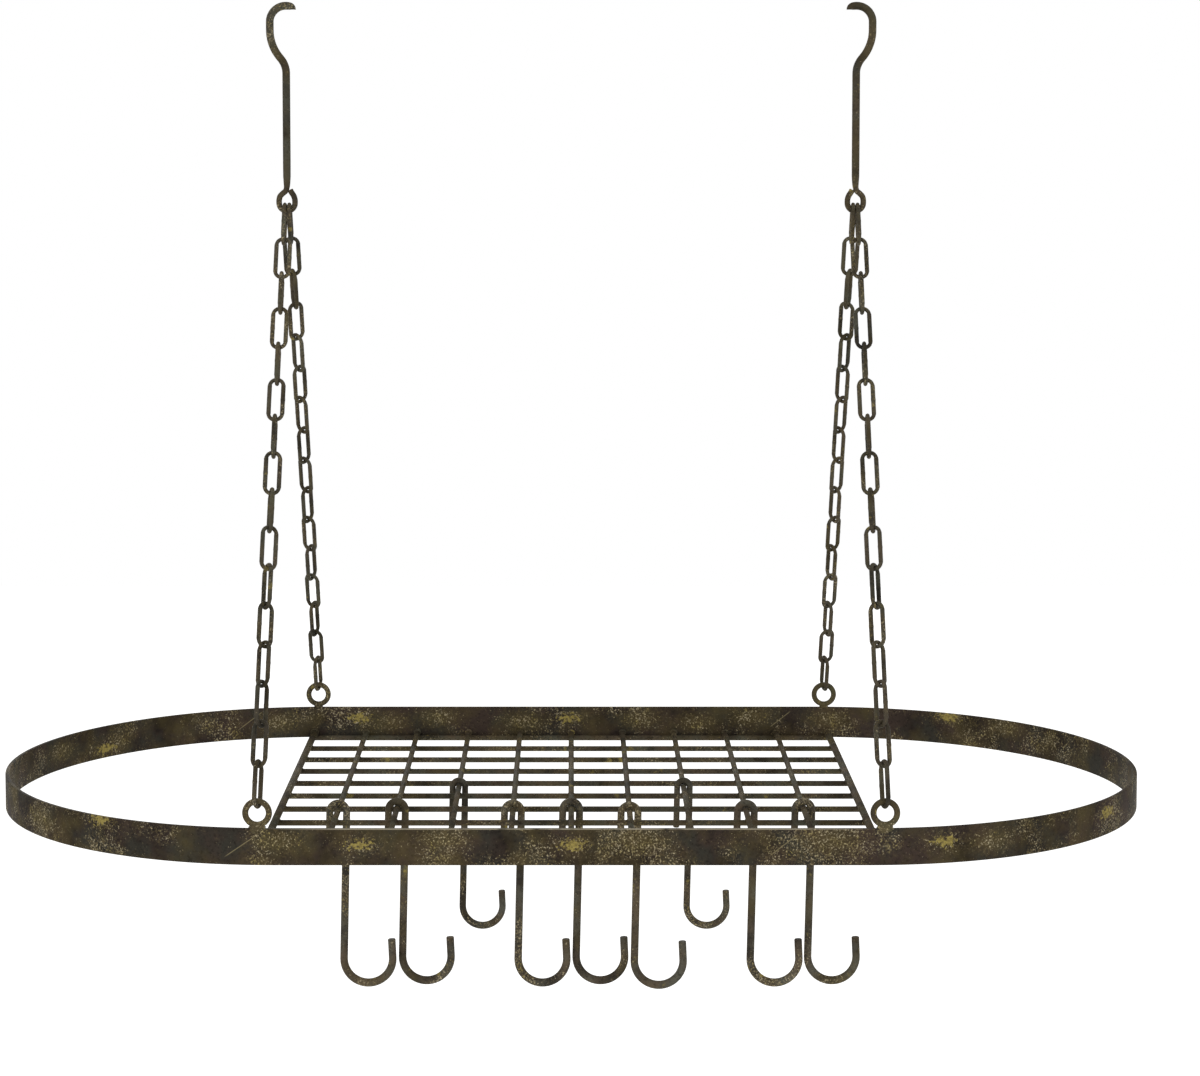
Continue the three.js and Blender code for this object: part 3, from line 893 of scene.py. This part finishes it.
for degrees in range(POINT_STEP, POINT_TURN + 1, POINT_STEP):
    angle = math.radians(degrees)
    underside = (CROWN_RADIUS - ROD / 2 - 2 * CROWN_SWELL) / math.cos(angle)
    ground = GRIND_DEPTH * max(0.0, (degrees - GRIND_FROM) / (POINT_TURN - GRIND_FROM)) ** 2
    topside = max(CROWN_RADIUS + ROD / 2 - 2 * FORGED_FLAT - ground, underside + POINT_THICKNESS)
    middle = (underside + topside) / 2
    rod_points.append(crown_centre + Vector((-middle * math.sin(angle), 0, middle * math.cos(angle))))
    rod_radii.append(((topside - underside) / 2, ROD / 2 - POINT_NARROWED * degrees / POINT_TURN))
print("rod and point:", len(rod_points), "points")

# %% [markdown]
# ## Both ceiling hooks
#
# The two hooks are the same, turned to bulge outwards. One path serves both: the left
# one is scaled by -1 along X. Normals are worked out afterwards, at the hand-over.

# %% Hang both ceiling hooks
for name, side in (("left", -1), ("right", 1)):
    form = bmesh.new()
    outwards = Matrix.Translation((side * HOOK_SPACING / 2, 0, 0)) @ Matrix.Scale(side, 4, (1, 0, 0))
    round_wire(form, rod_points, rod_radii, outwards, sides=20)
    hand_over(form, f"ceiling_rod_{name}", coats["ceiling_hook"], "ceiling_hooks",
              [f"ceiling_hook_{name}"])
    print("ceiling rod", name, "hangs at X", side * HOOK_SPACING / 2)

# %% [markdown]
# ## The chains
#
# Sixty-four oval links of 3 mm wire, each closed by a butt weld in the middle of one
# side. The wire is a shade thicker at the weld and thinner where the bends were drawn
# tight. Drawing every link by itself keeps them apart, as they are on the rack.

# %% One link
LINK_WIDTH, LINKS = 12.8, 16
WELD_STRETCH, WELD_LENGTH = 6.0, 1.1       # closely drawn part of a side, and the weld in it
WELD_SWELL, SIDE_SWELL, BEND_DRAWN = 0.14, 0.12, 0.08
link_bend = (LINK_WIDTH - LINK_WIRE) / 2


def draw_link(form, run, place):
    """One welded link about its middle. run is its length between the wire's centres."""
    straight = run - 2 * link_bend
    plain = ("run", (straight - WELD_STRETCH) / 2, 1)
    around = [plain, ("run", WELD_STRETCH, 8), plain, ("bend", 180, link_bend),
              ("run", straight, 1), ("bend", 180, link_bend)]
    points = bent_path(link_bend, -straight / 2, 90, around, finest_turn=15.0)[:-1]
    radii = []
    for point in points:
        near_weld = math.exp(-(point.z / WELD_LENGTH) ** 2) if point.x > 0 else 0.0
        on_side = abs(point.z) < straight / 2 + 1
        size = LINK_WIRE / 2 + WELD_SWELL * near_weld + (SIDE_SWELL if on_side else -BEND_DRAWN)
        radii.append((size, size))
    round_wire(form, points, radii, place, sides=12, closed=True)


print("link:", LINK_WIDTH, "mm wide")

# %% [markdown]
# ## How a chain winds
#
# Along a hanging chain each link stands square to the last, but a real chain also winds
# a little as it goes. The front chains hang square down to the seventh link and then
# turn steadily. The rear ones turn most down to the fifth. Both arrive at their ring
# turned by the same 72 degrees. So each link gets its own place down the line from the
# eye to the ring, and its own turn about that line. The gap between neighbours is 0.3 mm
# at the first and the last link, which have to turn freely, and next to nothing between
# the others.

# %% Places down a chain
CHAIN_TWIST, FRONT_START, REAR_END, REAR_EARLY = 72.0, 7, 5, 44.0
JOINED_PAIRS = 6                           # pairs of links that are one solid in the frame
eye_bottom = -EYE_DROP - EYE_STRAIGHT / 2 - eye_bend
link_reach = eye_bend - EYE_WIRE / 2 - LINK_WIRE / 2 - SEAT_GAP
first_rise = eye_bend - math.sqrt(link_reach ** 2 - CHAIN_OFFSET ** 2)
last_drop = (LINK_WIRE + RING_WIRE) / 2 + SEAT_GAP
end_step = LINK_WIRE + SEAT_GAP
all_steps = (LINKS - 1) * end_step - JOINED_PAIRS * 2 * SEAT_GAP
middle_step = (all_steps - 2 * end_step) / (LINKS - 3)


def winding(link, face):
    """Degrees that a link has turned beyond its quarter turns."""
    if face < 0:
        return CHAIN_TWIST * max(0, link - FRONT_START) / (LINKS - FRONT_START)
    if link <= REAR_END:
        return REAR_EARLY * (link - 1) / (REAR_END - 1)
    return REAR_EARLY + (CHAIN_TWIST - REAR_EARLY) * (link - REAR_END) / (LINKS - REAR_END)


def link_places(side, face):
    """The length of a link of one chain, and the place of each of its links."""
    x, y = corner_place(side, face)
    top, bottom = Vector((x, 0, eye_bottom)), Vector((x, y, ring_centre + ring_bend))
    up = (top - bottom).normalized()
    across = Vector((1, 0, 0))
    flat = across.cross(up)
    basis = Matrix((flat, across, up)).transposed().to_4x4()
    run = ((top - bottom).length + first_rise + last_drop + all_steps) / LINKS
    places, down = [], run / 2 - first_rise
    for link in range(1, LINKS + 1):
        turn = math.radians(90 * (link - 1) - side * winding(link, face))
        places.append(Matrix.Translation(top - up * down) @ basis @ Matrix.Rotation(turn, 4, "Z"))
        down += run - (end_step if link in (1, LINKS - 1) else middle_step)
    return run, places


print("gap between middle links:", round(middle_step - LINK_WIRE, 3), "mm")

# %% [markdown]
# ## Hanging the chains
#
# A chain's first link turns with the top links and its last with the rack, and the ones
# between ride on the chain's own body. In the frame the links from 3 to 14 are joined in
# pairs, so two drawn links stand for one solid there.

# %% Hang the chains


def solid_of(corner, link):
    """The name of the solid that holds a link. From 3 to 14 two links share one."""
    if link in (1, 2, LINKS - 1, LINKS):
        return f"{corner}_link_{link:02d}"
    first = link if link % 2 else link - 1
    return f"{corner}_links_{first:02d}_{first + 1:02d}"


for corner, side, face in CORNERS:
    run, places = link_places(side, face)
    for link, place in enumerate(places, start=1):
        form = bmesh.new()
        draw_link(form, run, place)
        body = {1: "top_links", LINKS: "rack"}.get(link, f"chain_{corner}")
        hand_over(form, f"chain_link_{corner}_{link:02d}", coats["chain"], body,
                  [solid_of(corner, link)])
    print("chain", corner, "has", len(places), "links of", round(run + LINK_WIRE, 1), "mm")

# %% [markdown]
# ## The pot hooks
#
# Nine loose hooks, cut from wire and bent cold: a narrow loop that drops over a bar of
# the grid, a long shaft, and a round cradle for a pan's handle. Their ends are saw cuts
# with the burr taken off. Seven are of 5.2 mm wire, and two shorter ones of 4.6 mm hang
# further back. They lean a degree or so, as hooks do whose cradle is off to one side. The
# cold bend has broadened the wire a little towards the inside of the cradle.

# %% Bend the pot hooks
LARGE = dict(wire=5.2, loop_width=17.4, free_leg=38.0, height=137.5,
             cradle_width=40.6, tip_height=34.6, row=-68.0)
SMALL = dict(wire=4.6, loop_width=14.0, free_leg=38.0, height=115.3,
             cradle_width=34.6, tip_height=29.0, row=10.0)
LEAN, CRADLE_TURN, CRADLE_STEPS, STAGGER = 1.3, 184.0, 25, 5.9
SHAFT_SWELL, CRADLE_SWELL, BURR_OFF = 0.2, 0.45, 0.35
# Each: the bar it hangs on, counted from the middle, its kind, and its steps out of the row.
HOOK_PLACES = [(-4, LARGE, 0), (-3, LARGE, 1), (-2, SMALL, 0), (-1, LARGE, 0), (0, LARGE, 1),
               (1, LARGE, -1), (2, SMALL, 0), (3, LARGE, 0), (4, LARGE, 1)]


def draw_pot_hook(form, kind, place):
    """A pot hook about the centre of its bar."""
    wire = kind["wire"]
    loop_bend = (kind["loop_width"] - wire) / 2
    cradle_bend = (kind["cradle_width"] - wire) / 2
    loop_centre = GRID_WIRE / 2 + SEAT_GAP + wire / 2 - loop_bend
    leg = kind["free_leg"] - wire / 2 - loop_bend
    shaft = kind["height"] - wire - loop_bend - cradle_bend
    tip = kind["tip_height"] - wire / 2 - cradle_bend
    points = bent_path(-loop_bend, loop_centre - leg, 90, [
        ("run", END_CUT, 1), ("run", leg - END_CUT, 2), ("bend", -180, loop_bend), ("run", shaft, 5),
        ("bend", CRADLE_TURN, cradle_bend), ("run", tip - END_CUT, 1), ("run", END_CUT, 1)])
    # The wire is broader from low on the shaft to the tip, and broadest at the bottom of the
    # cradle. There its middle moves inwards by as much, so that the hook gets no taller.
    radii = [(wire / 2, wire / 2)] * len(points)
    cradle_start = len(points) - 3 - CRADLE_STEPS
    broad = wire / 2 + SHAFT_SWELL
    for index in (*range(cradle_start - 4, cradle_start), -2):
        radii[index] = (broad, wire / 2)
    drawn = list(points)
    for step in range(CRADLE_STEPS + 1):
        index = cradle_start + step
        share = math.sin(math.pi * step / CRADLE_STEPS)
        along = (points[index + 1] - points[index - 1]).normalized()
        radii[index] = (broad + (CRADLE_SWELL - SHAFT_SWELL) * share, wire / 2)
        drawn[index] = points[index] + Vector((-along.z, 0, along.x)) * CRADLE_SWELL * share
    radii[0] = (wire / 2 - BURR_OFF, wire / 2 - BURR_OFF)
    radii[-1] = (broad - BURR_OFF, wire / 2 - BURR_OFF)
    round_wire(form, drawn, radii, place)


for number, (bar, kind, step) in enumerate(HOOK_PLACES, start=1):
    form = bmesh.new()
    seat = Vector((bar * pitch_x, kind["row"] + step * STAGGER, BAR_LEVEL))
    leaning = Matrix.Translation(seat) @ Matrix.Rotation(math.radians(LEAN), 4, "Y")
    draw_pot_hook(form, kind, leaning)
    hand_over(form, f"pan_hook_{number}", coats["pot_hook"], f"loose_hook_{number}",
              [f"pot_hook_{number}"])
    print("pot hook", number, "on bar", bar)

# %% [markdown]
# ## Measure, and finish
#
# The dressed rack has to fill the same box as its solids and no more, so both boxes are
# printed side by side.

# %% Print both boxes
dressed_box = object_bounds()
boxes = {"frame": [list(corner) for corner in frame_box], "dressed": [list(corner) for corner in dressed_box]}
for name, (low, high) in boxes.items():
    print(name, "box in mm:", [round(1000 * v, 2) for v in low], [round(1000 * v, 2) for v in high])
